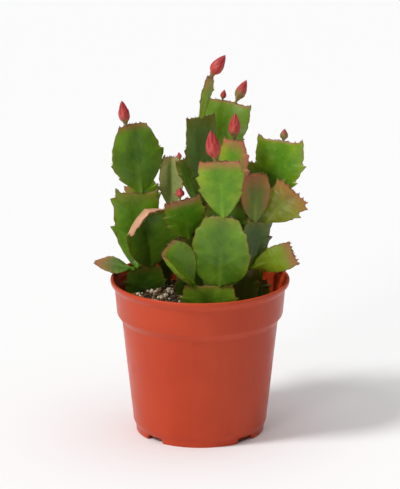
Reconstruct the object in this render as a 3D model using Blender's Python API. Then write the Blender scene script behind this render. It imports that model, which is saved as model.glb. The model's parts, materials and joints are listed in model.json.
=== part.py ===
"""Potted christmas cactus: a plastic nursery pot, the potting mix, and a jointed-stem plant.

Every flat stem segment (pad) and every flower bud is an object of its own. A pad is drawn
upright in its own frame, base at the origin, then leaned, tilted and turned into place on
the top of the pad it grows from.
"""
from dataclasses import dataclass
from math import cos, pi, radians, sin

import bmesh
import bpy
from mathutils import Matrix, Vector

MM = 0.001
GAP = 0.3 * MM                    # air left between neighbouring solids

# Pot, turned about Z
POT_HEIGHT = 95.0 * MM
LIP_RADIUS = 54.0 * MM
COLLAR_TOP = (51.5 * MM, 89.7 * MM)       # radius and height where the lip starts to flare
COLLAR_FOOT = (50.1 * MM, 73.8 * MM)
BODY_TOP = (47.1 * MM, 69.5 * MM)
BODY_FOOT = (40.4 * MM, 6.7 * MM)
FOOT_RADIUS = 38.7 * MM
POT_WALL = 1.2 * MM
FLOOR_UNDERSIDE = 3.6 * MM
FLOOR_THICKNESS = 1.4 * MM
FLOOR_TOP = FLOOR_UNDERSIDE + FLOOR_THICKNESS
SKIRT_WALL = 1.6 * MM             # of the foot ring under the floor
POT_SEGMENTS = 64
POT_COLOUR = (0.55, 0.09, 0.035)
FOOT_NOTCHES = 4
NOTCH_WIDTH = 12.5 * MM
NOTCH_HEIGHT = 3.0 * MM
NOTCH_CORNER = 1.5 * MM
DRAIN_DIAMETER = 9.0 * MM
DRAIN_CIRCLE = 26.0 * MM

# Potting mix
MIX_LEVEL = 80.0 * MM
MIX_SLOPE = (-0.07, -0.03)        # rise per unit along X and Y: it lies higher front left
MIX_CROWN = 1.5 * MM              # the middle stands this much above the edge
MIX_SEGMENTS = 48
ROOT_DEPTH = 8.0 * MM             # a rooted pad's base is this far under the mix level
SOCKET_AIR = 0.4 * MM             # room left round a rooted pad
MIX_COLOUR = (0.035, 0.022, 0.014)

# Pads
PAD_THICKNESS = 2.8 * MM
RIB_HEIGHT = 0.5 * MM
NECK_HALF_WIDTH = 2.4 * MM
TOOTH_HEIGHT = 1.7 * MM
STEM_REACH = 2.6 * MM             # more air below a pad set square to its parent
TOOTH_RISE = 0.17                 # share of the length a tooth takes to swell out
TOOTH_DROP = 0.035                # and to cut back in above its point
CURL_FROM = 0.7                   # share of the length where a curl starts
CURL_OVER = 0.3
FOLD_ROUNDING = 0.5               # share of each half over which a folded midrib is rounded
LENGTH_STEPS = 24
ACROSS = (-1.0, -0.55, 0.0, 0.55, 1.0)

# Buds
BUD_SEGMENTS = 10
BUD_STALK = 0.30                  # stalk radius as a share of the bud's radius


@dataclass
class Pad:
    """One stem segment; lengths in millimetres and angles in degrees."""
    name: str
    parent: str                   # the pad it grows from, or "" when rooted in the mix
    at: float | tuple             # place across the parent's top, -1 to 1; (x, y) when rooted
    lean: float                   # of the length, from upright to the right
    tilt: float                   # of the length, from upright to the front
    turn: float                   # of the face, from front to the right
    length: float
    width: float
    bend: float = 0.0             # curve of the length towards the face
    curl: float = 0.0             # more of the same, gained over the CURL_OVER past CURL_FROM
    skew: float = 0.0             # how much sooner (left) and later (right) the curl starts
    fold: float = 0.0             # angle each half is folded forward at the midrib
    cup: float = 12.0             # more of the same, gathered up towards the margin
    wide: float = 0.55            # share of the length where it is widest
    swell: float = 0.9            # lower for a rounder foot
    shoulder: float = 2.0         # lower for a straighter taper to the top
    top: float = 0.62             # width of the top as a share of the width
    horn: float = 1.2             # height of the points at the ends of the top
    dome: float = 0.0             # height of the top's middle
    left: tuple = (0.38, 0.64)    # heights of the left margin's teeth as shares of the length
    right: tuple = (0.42, 0.68)
    spike: float = 1.0            # size of those teeth against TOOTH_HEIGHT
    colour: tuple = (0.10, 0.23, 0.03)


@dataclass
class Bud:
    """One flower bud; lengths in millimetres and angles in degrees."""
    name: str
    parent: str
    at: float
    lean: float
    tilt: float
    length: float
    diameter: float
    colour: tuple = (0.62, 0.07, 0.09)


DARK = (0.045, 0.14, 0.03)
MID = (0.10, 0.25, 0.035)
LIGHT = (0.26, 0.42, 0.07)
BLUSHED = (0.36, 0.20, 0.09)

PADS = [
    # left cutting
    Pad("left_root", "", (-34, 13), 0, 0, 25, 25, 26, top=0.75, dome=1, left=(0.7,), right=(0.66,),
        colour=DARK),
    Pad("left_low", "left_root", -0.7, -80, 0, 70, 20.5, 15, wide=0.45, top=0.1, horn=0,
        left=(), right=(), colour=BLUSHED),
    Pad("left_folded", "left_root", 0.5, -8, 16, 22, 50, 37, bend=-24, curl=120, skew=0.05,
        fold=22, top=0.8, horn=0, left=(), right=(0.45,), spike=0.6, colour=MID),
    Pad("left_upright", "left_root", -0.42, -1, -12, 5, 45, 28, bend=22, wide=0.6, top=0.9, horn=3.5,
        left=(0.52, 0.86), right=(0.5,), spike=1.3, colour=MID),
    Pad("upper_left", "left_upright", 0.25, -8, 0, 20, 41, 33, wide=0.52, shoulder=1.5, top=0.45, horn=0,
        dome=1, left=(0.24, 0.46), right=(0.56,), spike=0.8, colour=MID),
    # front cutting
    Pad("front_root", "", (5, -20), 0, 0, 6, 24, 33, top=0.85, left=(0.7,), right=(0.66,),
        colour=DARK),
    Pad("front_round", "front_root", 0.5, 1, 4, -12, 42, 36, wide=0.47, swell=0.55, top=0.5, horn=0, dome=1.5,
        left=(0.45, 0.82), right=(0.5, 0.8), spike=0.4, colour=MID),
    Pad("front_upper", "front_round", 0.1, -4, 2, -6, 33, 27, wide=0.7, top=0.9, dome=1,
        left=(0.5, 0.72), right=(0.42, 0.76), spike=0.7, colour=LIGHT),
    Pad("front_folded", "front_root", -0.6, -40, 12, 60, 28, 30, fold=16, cup=50,
        left=(), right=(), colour=MID),
    # middle cuttings
    Pad("centre_root", "", (-6, 8), 0, 0, 30, 26, 23, left=(0.7,), right=(0.66,), colour=DARK),
    Pad("centre_lower", "centre_root", 0.0, -2, 10, 20, 21, 26, colour=DARK),
    Pad("centre_blushed", "centre_lower", 0.0, -9, 20, 10, 27, 24, top=0.9, horn=2.5,
        colour=LIGHT),
    Pad("centre_thin", "centre_blushed", 0.6, -19, -8, 58, 21, 13, colour=DARK),
    Pad("middle_root", "", (14, 4), 0, 0, -20, 26, 22, left=(0.7,), right=(0.66,), colour=DARK),
    Pad("middle_upright", "middle_root", 0.1, 0, 0, 16, 42, 27, wide=0.7, top=0.85,
        colour=MID),
    Pad("middle_upper", "middle_upright", 0.6, -2, -3, -40, 38, 22, wide=0.6, left=(0.4,),
        right=(0.52, 0.76), colour=LIGHT),
    # right cuttings
    Pad("right_root", "", (26, -3), 0, 0, 30, 29, 21, left=(0.7,), right=(0.66,), colour=DARK),
    Pad("right_upright", "right_root", 0.2, 14, 0, 30, 30, 22, colour=DARK),
    Pad("right_blushed", "right_upright", -0.35, 2, 2, 16, 27, 18, wide=0.55, top=0.62,
        dome=2, left=(), right=(), colour=BLUSHED),
    Pad("right_outer", "right_upright", 0.75, 41, 4, -14, 24, 23, wide=0.65, top=0.85, horn=1,
        left=(0.9,), right=(0.62, 0.86), spike=1.4, colour=BLUSHED),
    Pad("right_low", "right_root", 0.7, 67, 10, 0, 25, 17, wide=0.6, top=0.85, left=(),
        right=(), colour=LIGHT),
    Pad("right_rear_root", "", (34, 15), 0, 0, 0, 17, 17, left=(0.8,), right=(0.8,), colour=DARK),
    Pad("right_rear_stem", "right_rear_root", 0.3, 9, 0, 85, 33, 13, colour=MID),
    Pad("right_rear_mid", "right_rear_stem", 0.0, 18, 4, 60, 20, 14, colour=DARK),
    Pad("right_upper", "right_rear_mid", 0.0, 2, 0, -24, 33, 31, wide=0.7, top=0.95, horn=4,
        dome=1, left=(0.24, 0.52), right=(0.26, 0.58), spike=1.4, colour=LIGHT),
    # rear cuttings
    Pad("back_left_root", "", (-22, 32), 0, 0, 60, 26, 17, top=0.8, left=(0.7,),
        right=(0.66,), colour=DARK),
    Pad("back_left_mid", "back_left_root", -0.4, 10, 4, 60, 34, 16, colour=DARK),
    Pad("back_left_upper", "back_left_mid", 0.0, 0, -4, 0, 30, 18, fold=24, cup=20, top=0.5,
        left=(0.4,), right=(), colour=MID),
    Pad("back_root", "", (0, 26), 0, 0, 12, 26, 28, top=0.9, left=(0.7,), right=(0.66,),
        colour=DARK),
    Pad("back_mid", "back_root", -0.55, 13, 12, 20, 40, 20, colour=DARK),
    Pad("tall_back", "back_mid", -0.1, -2, 0, 28, 52, 22, wide=0.6, top=0.9, horn=1,
        left=(0.3, 0.62), right=(0.34, 0.68), spike=0.5, colour=DARK),
    Pad("tall_stalk", "tall_back", 0.1, 12, 0, 45, 24, 8, wide=0.35, swell=0.6, top=0.45,
        spike=0.4, colour=LIGHT),
    Pad("back_inner", "back_root", 0.75, 9, -8, 78, 37, 17, colour=DARK),
    Pad("back_inner_upper", "back_inner", 0.0, -7, -2, 75, 26, 15, colour=DARK),
    Pad("upper_back", "back_inner_upper", 0.0, 9, 0, -18, 32, 30, wide=0.7, top=0.95,
        horn=3, dome=2, left=(0.36,), right=(0.4,), colour=MID),
    Pad("back_right_root", "", (24, 30), 0, 0, 26, 26, 20, top=0.8, left=(0.7,), right=(0.66,),
        colour=DARK),
    Pad("back_right_mid", "back_right_root", -0.45, 12, 2, -22, 28, 18, colour=DARK),
    Pad("back_right_upper", "back_right_mid", 0.1, 3, 3, -20, 34, 22, colour=DARK),
    Pad("rear_left", "back_left_root", 0.5, -18, -34, 155, 27, 21, bend=-30, colour=MID),
    Pad("rear_left_tip", "rear_left", 0.2, -24, 2, 195, 22, 20, top=0.9, colour=LIGHT),
    Pad("rear_centre", "back_root", -0.05, 2, -38, 184, 32, 24, bend=-36, colour=MID),
    Pad("rear_centre_upper", "rear_centre", 0.1, 4, 4, 165, 32, 23, top=0.9,
        colour=LIGHT),
    Pad("rear_right", "back_right_root", 0.5, 24, -34, 205, 30, 21, bend=-30, colour=MID),
    Pad("rear_right_tip", "rear_right", 0.0, 26, 2, 170, 21, 18, top=0.9, horn=3,
        colour=BLUSHED),
]

BUDS = [
    Bud("upper_left_bud", "upper_left", -0.4, -9, 0, 15, 6.2),
    Bud("tall_stalk_bud", "tall_stalk", 0.0, 34, 0, 15, 7.0),
    Bud("upper_back_bud_small", "upper_back", -0.3, 12, 0, 6, 3.4),
    Bud("upper_back_bud", "upper_back", 0.3, 25, 0, 14, 6.0),
    Bud("middle_upper_bud", "middle_upper", 0.0, 2, 0, 16, 6.8),
    Bud("front_upper_bud", "front_upper", -0.2, -9, 0, 18, 8.0),
    Bud("right_upper_bud", "right_upper", 0.1, 5, 0, 7, 4.5),
    Bud("centre_blushed_bud", "centre_blushed", -0.1, 0, 0, 6, 5.0),
    Bud("centre_thin_bud", "centre_thin", 0.0, -10, 0, 4.5, 2.6),
    Bud("rear_centre_bud", "rear_centre_upper", 0.1, 6, -5, 14, 6.6),
]


def clear_scene():
    for old in list(bpy.data.objects):
        bpy.data.objects.remove(old, do_unlink=True)


def make_material(name, colour, roughness):
    """A plain dielectric material of one colour."""
    material = bpy.data.materials.new(name)
    material.use_nodes = True
    shader = material.node_tree.nodes["Principled BSDF"]
    shader.inputs["Base Color"].default_value = (*colour, 1.0)
    shader.inputs["Roughness"].default_value = roughness
    shader.inputs["Metallic"].default_value = 0.0
    material.diffuse_color = (*colour, 1.0)
    return material


def add_object(name, bm, material):
    """Close the bmesh into a named object with its normals facing out."""
    bmesh.ops.recalc_face_normals(bm, faces=bm.faces)
    mesh = bpy.data.meshes.new(name)
    bm.to_mesh(mesh)
    bm.free()
    obj = bpy.data.objects.new(name, mesh)
    bpy.context.collection.objects.link(obj)
    if material is not None:
        mesh.materials.append(material)
    return obj


def turned(profile, segments):
    """Spin an outline of (radius, height) corners, which starts and ends on the Z axis."""
    bm = bmesh.new()
    corners = [bm.verts.new((radius, 0.0, height)) for radius, height in profile]
    sides = [bm.edges.new(pair) for pair in zip(corners, corners[1:])]
    bmesh.ops.spin(bm, geom=corners + sides, cent=(0, 0, 0), axis=(0, 0, 1),
                   angle=2 * pi, steps=segments, use_duplicate=False)
    bmesh.ops.remove_doubles(bm, verts=bm.verts, dist=1e-6)
    return bm


def cut(target, cutters):
    """Boolean the cutters out of the target and drop them."""
    for cutter in cutters:
        modifier = target.modifiers.new("cut", "BOOLEAN")
        modifier.operation = "DIFFERENCE"
        modifier.solver = "EXACT"
        modifier.object = cutter
    bpy.context.view_layer.update()
    evaluated = target.evaluated_get(bpy.context.evaluated_depsgraph_get())
    mesh = bpy.data.meshes.new_from_object(evaluated)
    target.modifiers.clear()
    target.data = mesh
    for cutter in cutters:
        bpy.data.objects.remove(cutter, do_unlink=True)


def inner_wall():
    """The pot's inner wall from the floor up to the lip, as (radius, height)."""
    return [
        (BODY_FOOT[0] - POT_WALL, FLOOR_TOP),
        (BODY_TOP[0] - POT_WALL, BODY_TOP[1] + 0.5 * POT_WALL),
        (COLLAR_FOOT[0] - POT_WALL, COLLAR_FOOT[1] + 0.5 * POT_WALL),
        (COLLAR_TOP[0] - POT_WALL, COLLAR_TOP[1]),
    ]


def pot_outline():
    """Section of the pot: under the floor, up the outside, over the lip, down to the floor."""
    underside = [
        (0.0, FLOOR_UNDERSIDE),
        (FOOT_RADIUS - SKIRT_WALL, FLOOR_UNDERSIDE),
        (FOOT_RADIUS - SKIRT_WALL, 0.0),
    ]
    outside = [
        (FOOT_RADIUS - 0.3 * MM, 0.0),
        (FOOT_RADIUS, 0.3 * MM),
        (FOOT_RADIUS + 0.3 * MM, FLOOR_UNDERSIDE),
        (BODY_FOOT[0] - 0.5 * MM, 0.5 * (FLOOR_UNDERSIDE + BODY_FOOT[1])),
        BODY_FOOT,
        BODY_TOP,
        COLLAR_FOOT,
        COLLAR_TOP,
    ]
    lip = [
        (LIP_RADIUS - 0.5 * MM, POT_HEIGHT - 2.6 * MM),
        (LIP_RADIUS, POT_HEIGHT - 1.4 * MM),
        (LIP_RADIUS - 0.2 * MM, POT_HEIGHT - 0.4 * MM),
        (LIP_RADIUS - 0.8 * MM, POT_HEIGHT),
        (LIP_RADIUS - 1.5 * MM, POT_HEIGHT - 0.4 * MM),
        (LIP_RADIUS - 2.0 * MM, POT_HEIGHT - 2.0 * MM),
    ]
    return underside + outside + lip + inner_wall()[::-1] + [(0.0, FLOOR_TOP)]


def foot_notch(angle):
    """Cutter for a notch in the foot ring, its upper corners rounded."""
    bm = bmesh.new()
    bmesh.ops.create_cube(bm, size=1.0)
    bmesh.ops.scale(bm, verts=bm.verts, vec=(8 * MM, NOTCH_WIDTH, 2 * NOTCH_HEIGHT))
    radial = [edge for edge in bm.edges if abs(edge.verts[0].co.x - edge.verts[1].co.x) > MM]
    upper = [edge for edge in radial if edge.verts[0].co.z > 0]
    bmesh.ops.bevel(bm, geom=upper, offset=NOTCH_CORNER, segments=2, affect="EDGES")
    notch = add_object("foot_notch", bm, None)
    notch.location = (FOOT_RADIUS * cos(angle), FOOT_RADIUS * sin(angle), 0.0)
    notch.rotation_euler = (0.0, 0.0, angle)
    return notch


def drain_hole(x, y):
    """Cutter for a round hole through the floor."""
    bm = bmesh.new()
    bmesh.ops.create_cone(bm, cap_ends=True, segments=16, radius1=0.5 * DRAIN_DIAMETER,
                          radius2=0.5 * DRAIN_DIAMETER, depth=4 * FLOOR_THICKNESS)
    hole = add_object("drain_hole", bm, None)
    hole.location = (x, y, FLOOR_UNDERSIDE + 0.5 * FLOOR_THICKNESS)
    return hole


def build_pot():
    material = make_material("pot_plastic", POT_COLOUR, 0.38)
    pot = add_object("pot", turned(pot_outline(), POT_SEGMENTS), material)
    cutters = [drain_hole(0.0, 0.0)]
    for index in range(FOOT_NOTCHES):
        angle = 2 * pi * (index + 0.5) / FOOT_NOTCHES
        cutters.append(foot_notch(angle))
        cutters.append(drain_hole(DRAIN_CIRCLE * cos(angle), DRAIN_CIRCLE * sin(angle)))
    cut(pot, cutters)


def half_width(pad, share, side):
    """Distance from the midrib to one margin (side -1 or 1) at a share of the length."""
    full = 0.5 * pad.width * MM
    if share < pad.wide:
        swell = sin(0.5 * pi * (share / pad.wide) ** pad.swell)
    else:
        swell = 1.0 - (1.0 - pad.top) * ((share - pad.wide) / (1.0 - pad.wide)) ** pad.shoulder
    margin = NECK_HALF_WIDTH + (full - NECK_HALF_WIDTH) * swell
    for tooth in (pad.left if side < 0 else pad.right):
        above = share - tooth
        if -TOOTH_RISE < above <= 0:
            margin += pad.spike * TOOTH_HEIGHT * (1.0 + above / TOOTH_RISE) ** 2
        elif 0 < above < TOOTH_DROP:
            margin += pad.spike * TOOTH_HEIGHT * (1.0 - above / TOOTH_DROP)
    return margin


def slope_at(pad, share, across):
    """Angle that the pad leans towards its face there."""
    past = (share - CURL_FROM - pad.skew * across) / CURL_OVER
    return radians(pad.bend * (share - 0.5) + pad.curl * min(max(past, 0.0), 1.0))


def lengthwise(pad, share, across):
    """How far a line along the pad has come forward and up by there, in the pad's own frame."""
    middles = [(step + 0.5) / LENGTH_STEPS for step in range(LENGTH_STEPS)]
    slopes = [slope_at(pad, share * middle, across) for middle in middles]
    stride = pad.length * MM * share / LENGTH_STEPS
    return stride * sum(map(sin, slopes)), stride * sum(map(cos, slopes))


def pad_point(pad, share, across, height, grow=0.0):
    """Point of a pad in its own frame, height off the sheet halfway through the pad.

    The half pad on each side bends forward by the fold at the midrib and by the cup over its
    width, so a strip of it lies on an arc whose tangent turns from fold to fold + cup.
    """
    side = -1 if across < 0 else 1
    reach = half_width(pad, share, side) + grow
    fold = radians(pad.fold)
    cup = max(radians(pad.cup), 0.001)
    wing = fold + cup * abs(across)
    outward = reach / cup * (sin(wing) - sin(fold))
    forward = reach / cup * (cos(fold) - cos(wing))
    rounded = wing * min(1.0, abs(across) / FOLD_ROUNDING)
    outward -= height * sin(rounded)
    forward += height * cos(rounded)
    slope = slope_at(pad, share, across)
    line_forward, line_up = lengthwise(pad, share, across)
    rise = MM * share ** 4 * (pad.horn * abs(across) ** 4 + pad.dome * (1.0 - across ** 2))
    ahead = line_forward + forward * cos(slope) + rise * sin(slope)
    up = line_up - forward * sin(slope) + rise * cos(slope)
    return Vector((side * outward, -ahead, up))


def pad_rows(pad):
    """Shares of the length that get a ring of points: the ends, the swell and every tooth."""
    rows = {0.0, 0.08, 0.22, 1.0}
    for tooth in pad.left + pad.right:
        rows |= {tooth, tooth + TOOTH_DROP}
    if not pad.left + pad.right:
        rows |= {0.4, 0.6, 0.8}
    if pad.curl:
        rows |= {0.5, 0.6, 0.68, 0.76, 0.84, 0.92}
    return sorted(rows)


def pad_bmesh(pad, grow=0.0):
    """Closed solid of lens section, as rings of points joined by quads."""
    bm = bmesh.new()
    faces_and_places = [(1, across) for across in ACROSS]
    faces_and_places += [(-1, across) for across in ACROSS[-2:0:-1]]
    rings = []
    for share in pad_rows(pad):
        body = 0.5 * PAD_THICKNESS * (1.0 - 0.45 * share ** 3)
        ring = []
        for face, across in faces_and_places:
            height = (body + grow) * (1.0 - across ** 2)
            if across == 0.0:
                height += RIB_HEIGHT * (1.0 - 0.6 * share)
            ring.append(bm.verts.new(pad_point(pad, share, across, face * height, grow)))
        rings.append(ring)
    for lower, upper in zip(rings, rings[1:]):
        for index in range(len(lower)):
            after = (index + 1) % len(lower)
            bm.faces.new((lower[index], lower[after], upper[after], upper[index]))
    for ring in (rings[0], rings[-1]):
        last = len(ACROSS) - 1
        bm.faces.new((ring[0], ring[1], ring[-1]))
        for index in range(1, last - 1):
            bm.faces.new((ring[index], ring[index + 1], ring[-index - 1], ring[-index]))
        bm.faces.new((ring[last - 1], ring[last], ring[last + 1]))
    return bm


def pad_turn(piece):
    """Rotation from a pad's own frame to the world: turn, then tilt, then lean."""
    turn = Matrix.Rotation(radians(getattr(piece, "turn", 0.0)), 4, "Z")
    tilt = Matrix.Rotation(radians(piece.tilt), 4, "X")
    lean = Matrix.Rotation(radians(piece.lean), 4, "Y")
    return lean @ tilt @ turn


def place(piece, pads, frames):
    """World matrix of a pad or bud: in the mix, or on its parent's top with a little air."""
    rotation = pad_turn(piece)
    if not piece.parent:
        x, y = piece.at
        return Matrix.Translation((x * MM, y * MM, MIX_LEVEL - ROOT_DEPTH)) @ rotation
    parent = pads[piece.parent]
    frame = frames[piece.parent]
    top = frame @ pad_point(parent, 1.0, piece.at, 0.0)
    growth = rotation.to_3x3() @ Vector((0, 0, 1))
    edge_on = abs((frame.to_3x3() @ Vector((0, 0, 1))).angle(growth, 0.0))
    air = GAP + STEM_REACH * min(1.0, sin(min(edge_on, 0.5 * pi)))
    return Matrix.Translation(top + growth * air) @ rotation


def build_plant():
    """Every pad and bud in place; returns the matrices of the pads by name."""
    pads = {pad.name: pad for pad in PADS}
    frames = {}
    for pad in PADS:
        frames[pad.name] = place(pad, pads, frames)
        material = make_material(f"{pad.name}_skin", pad.colour, 0.42)
        add_object(pad.name, pad_bmesh(pad), material).matrix_world = frames[pad.name]
    for bud in BUDS:
        material = make_material(f"{bud.name}_skin", bud.colour, 0.40)
        add_object(bud.name, bud_bmesh(bud), material).matrix_world = place(bud, pads, frames)
    return frames


def bud_bmesh(bud):
    """Pointed egg on a short stalk, turned about its length."""
    radius = 0.5 * bud.diameter * MM
    length = bud.length * MM
    outline = [(0.0, 0.0), (BUD_STALK * radius, 0.0), (BUD_STALK * radius, 0.10 * length)]
    for share, swell in ((0.2, 0.66), (0.34, 0.94), (0.48, 1.0), (0.66, 0.84), (0.84, 0.45)):
        outline.append((swell * radius, share * length))
    outline.append((0.0, length))
    return turned(outline, BUD_SEGMENTS)


def mix_outline():
    """Section of the potting mix, a little inside the pot's inner wall."""
    foot, step_foot, step_top, brim_top = inner_wall()
    taper = (brim_top[0] - step_top[0]) / (brim_top[1] - step_top[1])
    lowest = MIX_LEVEL - max(map(abs, MIX_SLOPE)) * step_top[0]
    brim = step_top[0] - GAP + taper * (lowest - step_top[1])
    return [
        (0.0, foot[1] + GAP),
        (foot[0] - GAP, foot[1] + GAP),
        (step_foot[0] - GAP, step_foot[1]),
        (step_top[0] - GAP, step_top[1]),
        (brim, MIX_LEVEL),
        (0.6 * brim, MIX_LEVEL + 0.7 * MIX_CROWN),
        (0.0, MIX_LEVEL + MIX_CROWN),
    ]


def build_mix(frames):
    """Potting mix inside the pot, with a socket round each rooted pad."""
    bm = turned(mix_outline(), MIX_SEGMENTS)
    for vert in bm.verts:
        if vert.co.z >= MIX_LEVEL - MM:
            vert.co.z += MIX_SLOPE[0] * vert.co.x + MIX_SLOPE[1] * vert.co.y
    mix = add_object("potting_mix", bm, make_material("peat_mix", MIX_COLOUR, 0.95))
    sockets = []
    for pad in PADS:
        if not pad.parent:
            socket = add_object(f"{pad.name}_socket", pad_bmesh(pad, SOCKET_AIR), None)
            below = Matrix.Translation((0, 0, -SOCKET_AIR))
            socket.matrix_world = below @ frames[pad.name]
            sockets.append(socket)
    cut(mix, sockets)


def main():
    clear_scene()
    build_pot()
    build_mix(build_plant())


main()
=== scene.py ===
import json
from collections import namedtuple
from math import cos, pi, radians, sin

import bmesh
import bpy
import numpy as np
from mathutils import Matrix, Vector

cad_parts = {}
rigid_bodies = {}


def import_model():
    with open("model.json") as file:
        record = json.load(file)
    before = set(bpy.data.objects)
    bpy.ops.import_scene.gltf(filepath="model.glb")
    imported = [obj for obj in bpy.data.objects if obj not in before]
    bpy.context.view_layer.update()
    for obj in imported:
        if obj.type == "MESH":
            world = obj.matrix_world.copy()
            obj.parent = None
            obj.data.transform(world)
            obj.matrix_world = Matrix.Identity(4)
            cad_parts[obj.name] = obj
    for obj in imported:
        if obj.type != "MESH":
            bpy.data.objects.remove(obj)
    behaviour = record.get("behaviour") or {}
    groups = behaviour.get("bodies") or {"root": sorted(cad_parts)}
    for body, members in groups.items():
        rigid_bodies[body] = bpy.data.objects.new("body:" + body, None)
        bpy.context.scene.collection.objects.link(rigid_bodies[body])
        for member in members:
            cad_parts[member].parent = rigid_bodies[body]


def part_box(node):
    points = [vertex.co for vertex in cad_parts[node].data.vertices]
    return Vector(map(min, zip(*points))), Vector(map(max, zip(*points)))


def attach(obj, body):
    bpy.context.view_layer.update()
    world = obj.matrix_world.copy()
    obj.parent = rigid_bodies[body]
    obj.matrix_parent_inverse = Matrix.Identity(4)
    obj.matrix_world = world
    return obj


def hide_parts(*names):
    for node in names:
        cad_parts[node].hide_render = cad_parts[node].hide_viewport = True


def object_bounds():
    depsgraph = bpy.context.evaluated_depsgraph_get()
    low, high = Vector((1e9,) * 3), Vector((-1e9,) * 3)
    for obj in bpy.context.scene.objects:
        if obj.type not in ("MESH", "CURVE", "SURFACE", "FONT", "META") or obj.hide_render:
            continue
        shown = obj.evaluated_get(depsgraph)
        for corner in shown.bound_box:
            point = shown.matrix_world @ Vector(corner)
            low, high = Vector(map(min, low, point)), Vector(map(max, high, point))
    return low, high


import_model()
cad_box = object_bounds()


# Pot: a thin injection-moulded nursery pot of terracotta-coloured polypropylene. The body tapers
# to a foot ring with four rounded notches, a collar stiffens the top and ends in a flared,
# rounded lip, and five drain holes go through the floor.
def new_mesh(name, points, faces, material):
    """Smooth mesh object from an array of points and an array of faces."""
    mesh = bpy.data.meshes.new(name)
    mesh.from_pydata(points.reshape(-1, 3).tolist(), [], faces.tolist())
    mesh.polygons.foreach_set("use_smooth", np.ones(len(mesh.polygons), bool))
    mesh.materials.append(material)
    mesh.update()
    piece = bpy.data.objects.new(name, mesh)
    bpy.context.scene.collection.objects.link(piece)
    return piece


def grid_faces(rows, columns, around=False, first=0, flip=False):
    """Quads between neighbours of a grid of points kept row by row; around joins the last
    column to the first, and flip turns the faces over."""
    row, column = np.meshgrid(np.arange(rows - 1), np.arange(columns - (not around)), indexing="ij")
    here = row * columns + column
    right = row * columns + (column + 1) % columns
    quads = first + np.stack([here, right, right + columns, here + columns], -1).reshape(-1, 4)
    return quads[:, ::-1] if flip else quads


def softened(corners, steps=5):
    """Section with each inner corner replaced by a parabola, which leaves the side before the
    corner and joins the side after it, both at the corner's own reach from it."""
    reaches = np.array([reach for _, reach in corners])[1:-1, None]
    corners = np.array([corner for corner, _ in corners])
    before = corners[:-2] - corners[1:-1]
    after = corners[2:] - corners[1:-1]
    before = corners[1:-1] + before * reaches / np.linalg.norm(before, axis=1)[:, None]
    after = corners[1:-1] + after * reaches / np.linalg.norm(after, axis=1)[:, None]
    t = np.linspace(0, 1, steps)[None, :, None]
    bends = (1 - t) ** 2 * before[:, None] + t**2 * after[:, None] + 2 * t * (1 - t) * corners[1:-1, None]
    return np.concatenate([corners[:1], bends.reshape(-1, 2), corners[-1:]])


def whole_turn(count):
    """That many angles, evenly spread once round."""
    return 2 * pi * np.arange(count) / count


def lathe(section, angles):
    """Points of a section of (radius, height) spun about Z: (r cos a, r sin a, h)."""
    radius, height = section[:, 0:1], section[:, 1:2]
    return np.stack([radius * np.cos(angles), radius * np.sin(angles), height + 0 * angles], -1)


def welded(piece, distance=1e-6):
    """Merge doubled points, which closes a piece at its seams and poles."""
    bm = bmesh.new()
    bm.from_mesh(piece.data)
    bmesh.ops.remove_doubles(bm, verts=bm.verts, dist=distance)
    bm.to_mesh(piece.data)
    bm.free()
    return piece


def finish_material(name, colour, roughness):
    """Principled material with its constants on the shader's own sockets."""
    material = bpy.data.materials.new(name)
    material.use_nodes = True
    shader = material.node_tree.nodes["Principled BSDF"]
    shader.inputs["Base Color"].default_value = (*colour, 1)
    shader.inputs["Roughness"].default_value = roughness
    material.diffuse_color = (*colour, 1)
    return material, shader


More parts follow.
